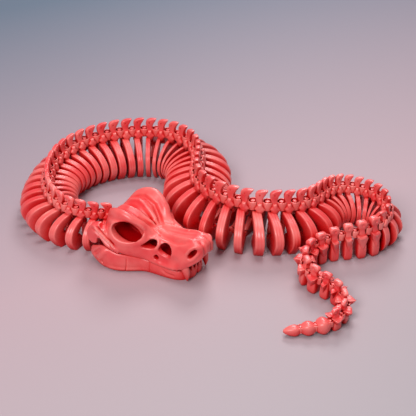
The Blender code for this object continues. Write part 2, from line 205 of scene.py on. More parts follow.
def pull(by, size=(1, 1, 1)):
    """Extrudes the selected face by a move, then resizes it about its own middle."""
    bpy.ops.mesh.extrude_region_move(TRANSFORM_OT_translate={"value": by})
    if tuple(size) != (1, 1, 1):
        bpy.ops.transform.resize(value=size)


def round_edges(offset):
    """Rounds every edge of the open piece."""
    bpy.ops.mesh.select_all(action="SELECT")
    bpy.ops.mesh.normals_make_consistent(inside=False)
    bpy.ops.mesh.bevel(offset=offset, segments=2, affect="EDGES")


def smooth(piece, levels):
    """Subdivides the piece for good and shades it smooth."""
    work_on(piece)
    if levels:
        rounding = piece.modifiers.new("rounding", "SUBSURF")
        rounding.levels = rounding.render_levels = levels
        bpy.ops.object.modifier_apply(modifier=rounding.name)
    bpy.ops.object.shade_smooth_by_angle(angle=math.radians(50))
    return piece


def skin_over(name, rings, levels):
    """A skin from a filled circle that is pulled from ring to ring and placed on each ring's points."""
    put_tools_down()
    bpy.ops.mesh.primitive_circle_add(vertices=len(rings[0]), radius=1, fill_type="NGON")
    piece = bpy.context.object
    piece.name = name
    bpy.ops.object.mode_set(mode="EDIT")
    bpy.ops.mesh.select_mode(type="FACE")
    bpy.ops.mesh.select_all(action="SELECT")
    for k, ring in enumerate(rings):
        if k:
            bpy.ops.mesh.extrude_region_move()
        edit = bmesh.from_edit_mesh(piece.data)
        cap = next(face for face in edit.faces if face.select)
        for vertex, point in zip(cap.verts, ring):
            vertex.co = point
        bmesh.update_edit_mesh(piece.data)
    bpy.ops.mesh.select_all(action="SELECT")
    bpy.ops.mesh.normals_make_consistent(inside=False)
    return smooth(piece, levels)


def cut_at_floor(piece):
    """Cuts the piece off level with the floor and closes it there."""
    edit_all(piece)
    bpy.ops.mesh.bisect(plane_co=(0, 0, 0), plane_no=(0, 0, 1), use_fill=True, clear_inner=True)
    put_tools_down()
    return piece


def join(pieces, name):
    """Makes the pieces one object with this name."""
    work_on(pieces[0])
    for piece in pieces[1:]:
        piece.select_set(True)
    if len(pieces) > 1:
        bpy.ops.object.join()
    pieces[0].name = name
    pieces[0].data.name = name
    return pieces[0]


def cut_away(piece, tool):
    """Takes the tool's shape out of the piece."""
    work_on(piece)
    hole = piece.modifiers.new("hole", "BOOLEAN")
    hole.operation = "DIFFERENCE"
    hole.solver = "EXACT"
    hole.object = tool
    bpy.ops.object.modifier_apply(modifier=hole.name)
    bpy.data.objects.remove(tool)


def scoop_out(piece, place, radius, segments, rings):
    """Presses a round hollow into the piece."""
    put_tools_down()
    bpy.ops.mesh.primitive_uv_sphere_add(segments=segments, ring_count=rings, radius=radius, location=place)
    cut_away(piece, bpy.context.object)


def soften(piece, repeat):
    """Evens out small steps in the piece's skin."""
    edit_all(piece)
    bpy.ops.mesh.vertices_smooth(factor=0.5, repeat=repeat)
    put_tools_down()


def copy_of(master, matrix):
    """A copy of a finished shape with its own mesh, set down by a matrix."""
    mesh = master.data.copy()
    mesh.transform(matrix)
    if matrix.determinant() < 0:
        mesh.flip_normals()
    copy = bpy.data.objects.new(master.name + "_copy", mesh)
    bpy.context.scene.collection.objects.link(copy)
    return copy


# ---- The vertebra ----
def stack(sections):
    """Raises the selected top face through sections of (height, x low, x high, half width)."""
    low, high, half = sections[0][1:]
    for (z_old, *_), (z, x_low, x_high, y_half) in zip(sections, sections[1:]):
        move = ((x_low + x_high - low - high) / 2, 0, z - z_old)
        pull(move, ((x_high - x_low) / (high - low), y_half / half, 1))
        low, high, half = x_low, x_high, y_half


def spine_block():
    """A ribbed vertebra's centrum, waist and hooked fin, with a shield on each side."""
    sections = (
        (25.0, -2.2, 2.6, 2.4),
        (28.5, -3.0, 3.3, 3.8),
        (32.0, -3.3, 3.5, 4.2),
        (34.4, -3.2, 3.0, 3.6),
        (36.4, -2.9, 2.3, 2.8),
        (38.0, -3.1, 2.0, 2.4),
        (39.6, -3.6, 2.2, 2.3),
        (41.2, -4.0, 2.9, 2.3),
        (42.8, -4.0, 3.8, 2.3),
        (44.2, -3.5, 4.7, 2.2),
        (45.3, -2.4, 5.4, 2.0),
        (46.0, -0.6, 5.6, 1.7),
        (46.4, 1.4, 5.5, 1.3),
    )
    _, x_low, x_high, y_half = sections[0]
    piece = start_block("spine_block", (x_low, -y_half, 23.6), (x_high, y_half, sections[0][0]), 0.7)
    pick("FACE", lambda middle, normal: normal.z > 0.9)
    stack(sections)
    smooth(piece, 2)
    for side in (1, -1):
        scoop_out(piece, (-0.4, side * 2.3, 43.0), 0.85, 10, 6)
    shields = [side_shield(side) for side in (1, -1)]
    return join([piece, *shields], "spine_block")


def side_shield(side):
    """The end of a side process: an angular shield with a blunt point at each side and one below."""
    middle = 31.9
    outline = (
        (-4.0, 32.6), (-1.9, 35.0), (-1.5, 36.8), (1.3, 36.8), (1.9, 34.8), (4.3, 31.9), (1.4, 27.0),
        (-0.8, 26.6),
    )
    steps = ((1.6, 0.9, 0.0), (4.2, 1.0, 0.1), (5.4, 0.82, 0.3), (6.1, 0.36, 0.3))
    rings = []
    for out, size, up in steps:
        rings.append([(x * size, side * out, middle + (z - middle) * size + up) for x, z in outline])
    shield = skin_over("side_shield", rings, 0)
    edit_all(shield)
    round_edges(0.35)
    return smooth(shield, 0)


def rib_depth(angle):
    """How deep a rib is at an angle of its outer line: 90 at its top, 0 at its widest, -90 on the floor."""
    falling = [(-at, depth) for at, depth in RIB_DEPTHS]
    return between(falling, -angle)


def rib_line(reach, middle, rise, foot):
    """The outer line of a rib as (y, z, lean of its outward normal, depth), from the root down."""
    line = []
    for angle in (88, 72, 58, 44, 30, 15, 0):
        turn = math.radians(angle)
        y, z = reach * math.cos(turn), middle + SHOULDER_BULGE * rise * math.sin(turn)
        lean = math.atan2(math.sin(turn) / (SHOULDER_BULGE * rise), math.cos(turn) / reach)
        line.append((y, z, lean, rib_depth(angle)))
    for down in (0.22, 0.44, 0.66, 0.86, 1.0, 1.15):
        y = reach * (1 - (1 - foot) * down**FOOT_CURVE)
        slope = reach * (1 - foot) * FOOT_CURVE * down ** (FOOT_CURVE - 1) / middle
        line.append((y, middle * (1 - down), -0.6 * math.atan(slope), rib_depth(-90 * down)))
    return line


def rib_section(width, thick):
    """A rib's section as (along the body, outwards): a flat outer face with two lines, and deep sides."""
    half = [(0.10, 0), (0.17, -0.25), (0.25, -0.02), (0.41, -0.12), (0.485, -0.6), (0.5, -1.6)]
    half += [(0.50, 1.2 - thick), (0.38, -thick)]
    right = [(share * width, depth) for share, depth in half]
    return right + [(-x, depth) for x, depth in reversed(right)]


def curled_rib(name, reach, foot, twist=0.0):
    """One left rib at full height, from the centrum out and down, with its foot along the floor."""
    middle = WIDEST_AT * FULL_HEIGHT
    rise = FULL_HEIGHT - ROOT_DROP - middle
    width = FULL_SHARE * FULL_PITCH
    slim = min(1.0, reach / FULL_REACH + 0.1)
    rings = []
    for y, z, lean, thick in rib_line(reach, middle, rise, foot):
        ring = []
        for x, depth in rib_section(width, thick * slim):
            ring.append((x - twist * depth, y + depth * math.cos(lean), z + depth * math.sin(lean)))
        rings.append(ring)
    rib = cut_at_floor(skin_over("rib_arch", rings, 1))
    half = width / 2 - 0.4
    bar = start_block("foot_bar", (-half, FOOT_INNER * reach, 0), (half, (foot - 0.12) * reach, FOOT_BAR))
    pick("EDGE", lambda spot, along: spot.z > 0.1 and abs(along.z) < 0.5)
    bpy.ops.mesh.bevel(offset=0.9, segments=2, affect="EDGES")
    smooth(bar, 0)
    return join([rib, bar], name)


def link_knob():
    """The round knob at the origin, with the neck behind it."""
    put_tools_down()
    bpy.ops.mesh.primitive_cylinder_add(vertices=20, radius=KNOB_RADIUS, depth=2 * LINK_HALF_HEIGHT)
    knob = bpy.context.object
    bpy.ops.object.mode_set(mode="EDIT")
    pick("EDGE", lambda middle, along: abs(along.z) < 0.5)
    bpy.ops.mesh.bevel(offset=0.7, segments=3, affect="EDGES")
    smooth(knob, 0)
    neck = start_block("neck", (1.0, -1.0, -3.0), (3.6, 1.0, 2.8))
    round_edges(0.4)
    smooth(neck, 0)
    return join([knob, neck], "link_knob")


def link_socket():
    """The C-shaped socket round the origin, open towards +x."""
    wall = (SOCKET_OUTER - SOCKET_INNER, 2 * LINK_HALF_HEIGHT)
    middle = (SOCKET_OUTER + SOCKET_INNER) / 2
    put_tools_down()
    bpy.ops.mesh.primitive_plane_add(size=1)
    piece = bpy.context.object
    piece.name = "link_socket"
    piece.data.transform(Matrix.Diagonal((wall[0], wall[1], 1, 1)))
    piece.data.transform(Matrix.Translation((middle, 0, 0)) @ Matrix.Rotation(math.pi / 2, 4, "X"))
    piece.data.transform(Matrix.Rotation(math.radians(SOCKET_MOUTH), 4, "Z"))
    edit_all(piece)
    bpy.ops.mesh.bevel(offset=0.3, segments=2, affect="VERTICES")
    bpy.ops.mesh.select_all(action="SELECT")
    turn = math.radians(2 * SOCKET_MOUTH - 360)
    bpy.ops.mesh.spin(steps=20, angle=turn, center=(0, 0, 0), axis=(0, 0, 1))
    bpy.ops.mesh.select_all(action="SELECT")
    bpy.ops.mesh.normals_make_consistent(inside=False)
    return smooth(piece, 0)


def tail_block(height, wing, leaf_length):
    """A tail vertebra: a hammer head on a waist, over one deep column with a leaf on each side."""
    scale = height / FULL_HEIGHT
    shares = (
        (0.0, -2.8, 3.0, 7.6),
        (1.6, -3.6, 3.8, 9.0),
        (4.5, -4.1, 4.3, 9.9),
        (13.0, -4.1, 4.3, 9.6),
        (19.0, -3.7, 3.9, 8.4),
        (24.0, -3.4, 3.6, 7.0),
        (29.0, -3.1, 3.3, 5.4),
        (33.5, -2.5, 2.7, 3.8),
        (36.5, -2.6, 2.9, 3.6),
        (38.5, -3.7, 4.0, 4.4),
        (41.5, -4.2, 4.6, 4.8),
        (44.3, -3.9, 4.4, 4.6),
        (46.2, -2.6, 3.2, 3.4),
    )
    sections = [(z * scale, x_low, x_high, y_half * scale) for z, x_low, x_high, y_half in shares]
    _, x_low, x_high, y_half = sections[0]
    piece = start_block("tail_block", (x_low, -y_half, -1.0), (x_high, y_half, 0.0), 0.8)
    pick("FACE", lambda middle, normal: normal.z > 0.9)
    stack(sections)
    block = cut_at_floor(smooth(piece, 2))
    for side in (1, -1):
        scoop_out(block, (0.3, side * (4.8 * scale + 1.1), 42.5 * scale), 1.9, 12, 8)
    leaves = [leaf(side, scale, wing, leaf_length) for side in (1, -1)]
    return join([block, *leaves], "tail_block")


def leaf(side, scale, wing, length):
    """A leaf that grows out of the column's side from its lower point up to the tip of the wing."""
    lowest, middle = 12.0, 25.0
    outline = (
        (-4.6, 27.0), (-3.0, 30.5), (1.6, 30.0), (5.4, 31.5), (4.4, 24.5), (2.2, 17.5), (0.0, lowest),
        (-2.4, 17.5),
    )
    rings = []
    for share, size in ((0.0, 0.95), (0.75, 1.0), (1.0, 0.7)):
        ring = []
        for x, z in outline:
            high = min(max((z - lowest) / 16.0, 0.0), 1.0)
            root = (9.4 - 5.0 * high) * scale
            tip = high * (0.5 + 0.5 * (x + 4.6) / 10)
            out = root - 1.0 + share * (1.6 + tip * (wing - root - 0.6))
            ring.append((x * size * length, side * out, (middle + (z - middle) * size) * scale))
        rings.append(ring)
    piece = skin_over("leaf", rings, 0)
    edit_all(piece)
    round_edges(0.35)
    return smooth(piece, 1)


def turned_bead(name, rings):
    """A lumpy bead on the x axis from (place, radius) rings, one unit long and about one in radius."""
    put_tools_down()
    bpy.ops.mesh.primitive_circle_add(vertices=8, radius=rings[0][1], fill_type="NGON")
    piece = bpy.context.object
    piece.name = name
    for vertex in piece.data.vertices:
        if vertex.index % 2:
            vertex.co *= BEAD_LUMPS
    piece.data.transform(Matrix.Translation((rings[0][0], 0, 0)) @ Matrix.Rotation(math.pi / 2, 4, "Y"))
    edit_all(piece)
    for (old_x, old_radius), (x, radius) in zip(rings, rings[1:]):
        pull((x - old_x, 0, 0), (1, radius / old_radius, radius / old_radius))
    bpy.ops.mesh.select_all(action="SELECT")
    bpy.ops.mesh.normals_make_consistent(inside=False)
    return smooth(piece, 2)


# ---- Where each vertebra goes ----
def down_on_floor(x, y, heading, scale=(1, 1, 1), lean=0.0, shift=0.0, lift=0.0):
    """From a shape's millimetres to its place: sized, swept back with its width, turned and lifted."""
    shape = Matrix.Diagonal((*scale, 1))
    shape[0][1] = lean
    shape[0][3] = shift
    shape[2][3] = lift
    return Matrix.Scale(MM, 4) @ Matrix.Translation((x, y, 0)) @ Matrix.Rotation(heading, 4, "Z") @ shape


def chain():
    """The joints (0 to VERTEBRAE) and each vertebra's middle, heading and pitch."""
    heading = math.radians(START_HEADING)
    joints = [Vector(CHAIN_START)]
    places = {}
    for number in range(1, VERTEBRAE + 1):
        pitch = between(PITCH, number)
        joints.append(joints[-1] + Vector((math.cos(heading), math.sin(heading))) * pitch)
        middle = (joints[-2] + joints[-1]) / 2
        places[number] = (middle.x, middle.y, heading, pitch)
        heading += math.radians(between(BEND, number))
    return joints, places


def knob_height(joint):
    """The middle of a link above the floor."""
    at = joint + 0.5
    return between(HEIGHT, at) * between(KNOB_SHARE, at)


def rib_width(number, pitch, side):
    """A rib's width along the body: less on the inside of a tight bend, so that ribs don't meet."""
    before, after = between(BEND, number - 1), between(BEND, number)
    inside = max(abs(before), abs(after)) if (before + after) * side > 0 else 0
    room = pitch - between(CAGE, number) * math.radians(inside)
    share = between(RIB_SHARE, number)
    if number % PER_LENGTH in (0, 1):
        share, room = min(share, JOINT_SHARE), JOINT_ROOM * room
    else:
        room *= between(ROOM_WITHIN, number)
    return max(min(share * pitch, room), THINNEST_RIB)


def ribbed_parts(number, place, shapes):
    """The block with its fin, and a rib on each side."""
    x, y, heading, pitch = place
    scale = between(HEIGHT, number) / FULL_HEIGHT
    parts = [copy_of(shapes["spine_block"], down_on_floor(x, y, heading, (pitch / FULL_PITCH, scale, scale)))]
    foot, reach, twist = between(FOOT, number), between(CAGE, number), between(TWIST, number)
    # Where the foot or the twist is its own, so is the rib.
    own = foot != OPEN_FOOT or twist != 0
    rib = curled_rib("own_rib", reach / scale, foot, twist) if own else shapes["rib"]
    reach_share = scale if own else reach / FULL_REACH
    lean, shift = between(SWEEP, number) * reach_share, between(ROOT_SHIFT, number)
    for side in (1, -1):
        width = rib_width(number, pitch, side) / (FULL_SHARE * FULL_PITCH)
        size = (width, side * reach_share, scale)
        parts.append(copy_of(rib, down_on_floor(x, y, heading, size, lean, shift)))
    if own:
        bpy.data.objects.remove(rib)
    return parts


def tail_parts(number, place, shapes):
    """A column with its leaves, or a bead, or the end cone."""
    x, y, heading, pitch = place
    height = between(HEIGHT, number)
    if number >= BEADS_FROM:
        radius = height / 2
        shape = shapes["end_cone"] if number == VERTEBRAE else shapes["bead"]
        matrix = down_on_floor(x, y, heading, (pitch, radius, radius), lift=radius * BEAD_LIFT)
        return [cut_at_floor(copy_of(shape, matrix))]
    block = tail_block(height, between(WING, number), between(LEAF_LENGTH, number))
    room = TAIL_JOINT_SHARE if number % PER_LENGTH in (0, 1) else 1.0
    part = copy_of(block, down_on_floor(x, y, heading, (room * pitch / FULL_PITCH, 1, 1)))
    bpy.data.objects.remove(block)
    return [part]


def one_vertebra(number, joints, place, shapes):
    """One vertebra with its knob in front and its socket behind."""
    heading = place[2]
    parts = (ribbed_parts if number <= LAST_RIBBED else tail_parts)(number, place, shapes)
    spot, size = joints[number - 1], between(LINK_SIZE, number - 1)
    matrix = down_on_floor(spot.x, spot.y, heading, (size,) * 3, lift=knob_height(number - 1))
    parts.append(copy_of(shapes["knob"], matrix))
    if number < VERTEBRAE:
        parts.append(socket_at(number, joints, heading, shapes["socket"]))
    return join(parts, f"vertebra_{number:02d}")


def socket_at(joint, joints, heading, socket):
    """The socket behind a vertebra, turned by half of the bend."""
    spot, size = joints[joint], between(LINK_SIZE, joint)
    turned = heading + math.radians(between(BEND, joint)) / 2
    return copy_of(socket, down_on_floor(spot.x, spot.y, turned, (size,) * 3, lift=knob_height(joint)))


def spine(finish):
    """All the vertebrae: each rides with its length, and stands for that length's solid."""
    shapes = {
        "spine_block": spine_block(),
        "rib": curled_rib("rib", FULL_REACH, OPEN_FOOT),
        "knob": link_knob(),
        "socket": link_socket(),
        "bead": turned_bead("bead", BEAD_RINGS),
        "end_cone": turned_bead("end_cone", CONE_RINGS),
    }
    joints, places = chain()
    lengths = [("neck_length", "neck")]
    lengths += [(f"trunk_length_{k}", f"trunk_{k}") for k in range(1, 8)]
    lengths += [("tail_length_1", "tail_1"), ("tail_length_2", "tail_2")]
    for k, (node, body) in enumerate(lengths):
        for number in range(k * PER_LENGTH + 1, (k + 1) * PER_LENGTH + 1):
            piece = one_vertebra(number, joints, places[number], shapes)
            finish_piece(piece, body, node, finish)
    for shape in shapes.values():
        bpy.data.objects.remove(shape)


def finish_piece(piece, body, node, finish):
    """Gives the piece its finish, and tells the frame what it rides on and what it stands for."""
    piece.data.materials.clear()
    piece.data.materials.append(finish)
    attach(piece, body)
    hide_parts(node)


# ---- The skull: x forwards from the neck joint, y to its left, z up. Sides mirror each other. ----
# Stations: forwards, half width, underside, shoulder (half, height), ridge (half, height), middle of the top.
CRANIUM = (
    (3, 14, 21, 13, 27, 9, 33, 31.5),
    (10, 24, 17, 23.5, 30, 15, 41, 36.5),
    (18, 28.5, 14.5, 27.5, 33.5, 18, 46, 39),
    (26, 28.5, 13, 26.5, 34, 18.5, 46.5, 37),
    (33, 25, 11.8, 24, 33, 17, 42.5, 32.5),
    (39, 21.5, 10.5, 20.5, 30, 14, 37.5, 28.5),
    (44, 19.2, 9.8, 17.2, 25.5, 10.5, 32, 27.4),
    (52, 18.2, 9, 15, 22.5, 7, 29.8, 29.5),
    (61, 17.4, 8.2, 14, 23, 6.5, 30, 31),
    (70, 16.5, 8.6, 13.2, 25, 7.5, 32.5, 33.2),
    (77, 14.2, 13.5, 12.2, 27, 8, 33.8, 34.8),
    (82, 11.2, 17.5, 9.8, 27, 6.5, 32.4, 34),
    (86, 6.5, 21.5, 6, 27.5, 4, 30.5, 31.5),
)
# The cheek ends behind in a hook that is bent round a notch.
CHEEK = (
    (-3, 18), (-4, 24), (0, 31), (7, 33.5), (16, 26), (27, 18.5), (25.5, 14.5), (13.6, 16.4), (11.2, 19.6),
    (8.4, 22.4), (6.2, 20.6), (5.2, 16.2), (1, 15),
)
CHEEK_SIDES = (21.5, 28.8)
OUTSIDE = 40  # a half width that is clear of the skull
# The eye socket narrows inwards in three ovals: (forwards, up, half length, half height, tilt), and where
# each begins and ends, as half widths.
EYE_SOCKET = (
    ((29.6, 32.5, 11.3, 7.1, -9), 15.5, OUTSIDE),
    ((27.5, 29.0, 10.6, 6.0, -9), 9.5, 22),
    ((26.5, 26.5, 10.8, 5.8, -12), 4.0, 20),
)
# Holes in the side, as (forwards, up) outlines, with the cavity that they open.
TEARDROP = ((38.8, 22.2), (43, 25.4), (45.8, 28.6), (50.4, 27.6), (51.4, 23.4), (48, 21.2), (44, 21.2))
DIAMOND = ((56.6, 27.4), (62.2, 25.2), (63.6, 21.2), (61.4, 17.2), (52.2, 20.0), (52.2, 24.8))
ROUND_HOLE = (51.5, 16.0, 1.7, 1.7, 0, 14)
NOSE_CAVITY = ((40, 20), (45, 23.6), (62, 23.6), (65, 20), (62, 15.6), (46, 15.6))
NOSE_WALL = 11.5
SEPTUM = 1.5
NOSTRIL = (79, 25.6, 4.4, 1.9, 52, 18)
NOSTRIL_WALL = 5.5
# The fangs: (forwards, half width, up).
FANG_BASE = (71.6, 12.2, 15.5)
FANG_TIP = (75, 11.8, 0.9)
FANG_RADIUS = 4.2
# Folds and grooves: name, radius, height, and the line as (forwards, half width, up) points.
FOLDS = (
    ("groove down the middle", 2.8, -2.0, ((9, 0, 36), (20, 0, 39), (31, 0, 33), (41, 0, 28))),
    ("fold beside the middle", 3.0, 2.0, ((9, 5, 37), (20, 6.5, 40), (31, 5, 34), (41, 1.6, 28))),
    (
        "groove inside the brow", 2.8, -2.5,
        ((8, 10, 38), (20, 11.5, 42), (30, 10.5, 38), (38, 6.5, 31), (42, 3, 28)),
    ),
    (
        "brow", 4.6, 2.2,
        ((6, 13, 37), (14, 17.5, 44), (24, 19, 46), (32, 17.5, 43), (38, 14.5, 38), (43, 11, 33)),
    ),
    (
        "groove outside the brow", 2.2, -1.0,
        ((10, 21, 38), (18, 24, 41), (27, 23.5, 41), (35, 20, 38), (41, 16, 33)),
    ),
    ("front rim of the eye", 2.4, 0.5, ((38, 17.5, 39), (42.5, 17.5, 33), (42.5, 19, 28), (38, 21.5, 24))),
    ("lower rim of the eye", 2.4, 0.3, ((18, 27.8, 28), (23, 28, 25), (31, 26.5, 23), (38, 22, 23.5))),
    ("rear rim of the eye", 2.2, 0.3, ((17, 27.8, 30), (16.5, 27.3, 34), (19, 25, 39))),
    (
        "side of the bridge", 2.4, -1.5,
        ((43, 6, 29), (50, 8, 28.5), (58, 9, 28.5), (66, 9.5, 29), (73, 8.5, 32)),
    ),
    (
        "edge of the bridge", 2.2, 1.3,
        ((42, 2.5, 28), (50, 4.8, 30), (58, 5.6, 31), (68, 6, 33), (76, 6, 35)),
    ),
    ("middle of the bridge", 2.0, -1.2, ((44, 0, 28), (54, 0, 30), (64, 0, 32), (74, 0, 34))),
    ("ridge behind the teardrop", 2.2, 0.8, ((46, 15, 30), (51, 14, 29), (52, 15, 25), (50, 17, 20))),
    ("upper lip", 3.0, 0.8, ((44, 19.5, 11.5), (54, 18.6, 10.5), (62, 17.8, 10), (69, 17, 10.5))),
    ("hollow over the lip", 5.5, -1.5, ((54, 17.5, 16), (61, 16.5, 16), (68, 16, 17))),
    ("fang root", 4.6, 0.6, ((72, 15, 12), (73.5, 14.6, 18), (75, 14, 23))),
    ("rim over the nostril", 1.8, 1.1, ((74.5, 12.5, 24), (77, 12.3, 29), (81, 11, 32.5), (84, 9, 31))),
    ("rim under the nostril", 1.8, 0.7, ((76.5, 13, 19.5), (80.5, 11.8, 22), (84, 9, 27))),
    ("nose notch", 2.0, -1.5, ((80, 4, 34), (84, 4.2, 32), (86, 4, 27), (85.5, 3.5, 22))),
    ("rear cheek groove", 2.0, -1.8, ((3, 28.5, 29), (8, 29, 26), (14, 29, 22), (20, 28.5, 18.5))),
    ("front cheek groove", 2.0, -2.4, ((6, 28.5, 33), (11, 29, 29), (17, 29, 24.5), (23, 28.8, 20))),
    ("cheek strand", 2.2, 1.3, ((4, 29, 31.5), (9.5, 29.5, 27.5), (16, 29.5, 23), (23, 29, 18.5))),
    ("temple", 3.0, -1.0, ((6, 22, 30), (11, 26, 32), (14, 27, 36))),
)


def mirrored_ring(forwards, half, low, shoulder, shoulder_z, ridge, ridge_z, middle):
    """One section of the skull, from the middle of its underside up one side and down the other."""
    right = [
        (0.70 * half, low + 1.2),
        (half, low),
        (half + 0.2, low + 0.45 * (shoulder_z - low)),
        (shoulder, shoulder_z),
        ((shoulder + ridge) / 2 + 0.8, (shoulder_z + ridge_z) / 2 + 1.0),
        (ridge, ridge_z),
        (0.5 * ridge, (ridge_z + middle) / 2 - 0.4),
    ]
    ring = [(0, low + 2), *right, (0, middle)] + [(-y, z) for y, z in reversed(right)]
    return [(forwards, y, z) for y, z in ring]


def side_tool(outline, inner, outer):
    """A bar along y over an outline of (forwards, up) points."""
    rings = [[(x, y, z) for x, z in outline] for y in (inner, outer)]
    return skin_over("side_tool", rings, 0)


def cut_corners(outline):
    """The closed outline with its corners cut twice, so that it runs smoothly."""
    for _ in range(2):
        points = []
        for a, b in zip(outline, outline[1:] + outline[:1]):
            for share in (0.25, 0.75):
                points.append(tuple(p + share * (q - p) for p, q in zip(a, b)))
        outline = tuple(points)
    return outline


def oval(middle_x, middle_z, half_x, half_z, tilt, steps=28):
    """A tilted oval of (forwards, up) points."""
    turn = math.radians(tilt)
    points = []
    for k in range(steps):
        a = half_x * math.cos(math.tau * k / steps)
        b = half_z * math.sin(math.tau * k / steps)
        across = a * math.cos(turn) - b * math.sin(turn)
        points.append((middle_x + across, middle_z + a * math.sin(turn) + b * math.cos(turn)))
    return points


def surface_points(piece, line, side):
    """Points half a millimetre apart on the piece's skin, along a line near it."""
    found = []
    for start, stop in zip(line, line[1:]):
        a = Vector((start[0], side * start[1], start[2]))
        b = Vector((stop[0], side * stop[1], stop[2]))
        steps = max(int((b - a).length / 0.5), 1)
        for k in range(steps + 1):
            hit, place, _, _ = piece.closest_point_on_mesh(a.lerp(b, k / steps))
            if hit:
                found.append(place[:])
    return np.array(found)


def stroke(piece, line, radius, height):
    """Raises or presses the skin along a line and its mirror image, softly towards the edges."""
    mesh = piece.data
    places = np.empty(len(mesh.vertices) * 3)
    normals = np.empty(len(mesh.vertices) * 3)
    mesh.vertices.foreach_get("co", places)
    mesh.vertices.foreach_get("normal", normals)
    places, normals = places.reshape(-1, 3), normals.reshape(-1, 3)
    weight = np.zeros(len(places))
    for side in (1, -1):
        points = surface_points(piece, line, side)
        for k, point in enumerate(points):
            share = k / len(points)
            fade = min(1.0, 0.25 + 5 * min(share, 1 - share))
            near = np.clip(1 - ((places - point) ** 2).sum(axis=1) / radius**2, 0, 1) ** 2
            weight = np.maximum(weight, fade * near)
    places += normals * (weight * height)[:, None]
    mesh.vertices.foreach_set("co", places.ravel())
    mesh.update()
    bpy.context.view_layer.update()


def melt_together(piece, grain, repeat):
    """Makes one even skin of the overlapping shapes and softens it."""
    work_on(piece)
    piece.data.remesh_voxel_size = grain
    bpy.ops.object.voxel_remesh()
    soften(piece, repeat)


def tooth(name, base, tip, radius, bend=0.0):
    """A curved tooth from its base down to its blunt tip."""
    base, tip = Vector(base), Vector(tip)
    rings = []
    for share, size in ((0, 1), (0.25, 0.9), (0.5, 0.72), (0.75, 0.46), (0.93, 0.2), (1, 0.06)):
        middle = base.lerp(tip, share) + Vector((bend * math.sin(math.pi * share), 0, 0))
        turns = [math.tau * k / 10 for k in range(10)]
        rings.append([middle + Vector((math.cos(t), 0.8 * math.sin(t), 0)) * radius * size for t in turns])
    return skin_over(name, rings, 1)


def skull(finish, place):
    """The skull above the jaw line: one skin with deep eye sockets, holes and folds, and two fangs."""
    rings = [mirrored_ring(*station) for station in CRANIUM]
    body = skin_over("skull", rings, 2)
    for side in (1, -1):
        for outline, inner, outer in EYE_SOCKET:
            cut_away(body, side_tool(oval(*outline), side * inner, side * outer))
        cut_away(body, side_tool(NOSE_CAVITY, side * SEPTUM, side * NOSE_WALL))
        for outline in (cut_corners(TEARDROP), cut_corners(DIAMOND), oval(*ROUND_HOLE)):
            cut_away(body, side_tool(outline, side * (NOSE_WALL - 3), side * OUTSIDE))
        cut_away(body, side_tool(oval(*NOSTRIL), side * NOSTRIL_WALL, side * OUTSIDE))
    cheeks = []
    for side in (1, -1):
        cheek = side_tool(CHEEK, side * CHEEK_SIDES[0], side * CHEEK_SIDES[1])
        edit_all(cheek)
        round_edges(1.3)
        cheeks.append(smooth(cheek, 0))
    body = join([body, *cheeks], "skull")
    melt_together(body, 0.5, 4)
    for _, radius, height, line in FOLDS:
        stroke(body, line, radius, height)
    soften(body, 2)
    fangs = []
    for side in (1, -1):
        base = (FANG_BASE[0], side * FANG_BASE[1], FANG_BASE[2])
        tip = (FANG_TIP[0], side * FANG_TIP[1], FANG_TIP[2])
        fangs.append(tooth("fang", base, tip, FANG_RADIUS, 1.2))
    body = join([body, *fangs, skull_socket()], "skull_print")
    work_on(body)
    bpy.ops.object.shade_smooth()
    body.data.transform(place)
    finish_piece(body, "head", "skull", finish)


def skull_socket():
    """The socket behind the skull that holds the first knob, with the bar that carries it."""
    size = between(LINK_SIZE, 0)
    turned = math.radians(START_HEADING - SKULL_YAW)
    socket = link_socket()
    lift = Matrix.Translation((0, 0, knob_height(0)))
    socket.data.transform(lift @ Matrix.Rotation(turned, 4, "Z") @ Matrix.Scale(size, 4))
    bar = start_block("bar", (2.9, -2.4, knob_height(0) - 3), (9, 2.4, knob_height(0) + 3))
    round_edges(0.5)
    smooth(bar, 0)
    return join([socket, bar], "skull_socket")


# ---- The lower jaw: forwards, outer half width, height, inner half width ----
JAW = (
    (-3, 26.0, 9.5, 23.0),
    (-0.5, 28.2, 12.0, 23.5),
    (5, 30.2, 15.0, 25.0),
    (11, 31.6, 18.6, 26.6),
    (16, 31.6, 17.6, 27.0),
    (22, 31.2, 15.6, 26.8),
    (28, 29.0, 14.6, 23.6),
    (36, 23.2, 12.6, 17.6),
    (42, 18.6, 10.8, 13.2),
    (54, 17.4, 9.4, 12.4),
    (64, 16.2, 8.4, 11.2),
    (71, 13.4, 8.4, 8.0),
    (75.6, 7.5, 8.8, 0.0),
)
JAW_FRONT = (76.8, 70.6)  # the front's outer and inner face
JAW_BEND = 60.0  # from here on, the inner face stays behind the front's
JAW_LIFT = ((-3, 5.0), (0, 3.0), (5, 1.0), (9, -1.0))  # the underside, as (forwards, up)
# The lower front teeth: forwards, half width, and the height of the tip.
FRONT_TEETH = ((75.0, 1.9, 14.0), (74.2, 5.4, 14.2), (71.8, 8.8, 13.6), (66.0, 13.0, 11.0))
TOOTH_ROOT = 5.5
# Strokes on the jaw, as on the skull.
JAW_LINES = (
    ("blade", 3.6, 1.3, ((9, 31, 6), (12, 31.5, 10), (15, 31.5, 15))),
    ("hollow behind the blade", 2.2, -1.3, ((3, 29.5, 7), (6, 30.3, 10), (9, 31, 14))),
    ("slot", 1.5, -2.6, ((9, 31, 6), (12.4, 31.4, 3.6))),
    ("rear seam", 0.8, -0.6, ((31, 28, 0), (31.5, 27, 6), (31.5, 26.5, 12))),
    ("front seam", 0.8, -0.6, ((46, 18.5, 0), (46, 18.2, 5), (46, 18, 10))),
    ("step", 1.6, -0.7, ((56, 17.6, 7), (60, 17, 4.4), (66, 16, 3.6))),
    ("lower edge", 2.2, 0.6, ((14, 31, 2), (22, 31.6, 2), (29, 29, 2), (36, 23, 2), (44, 18.4, 2))),
)


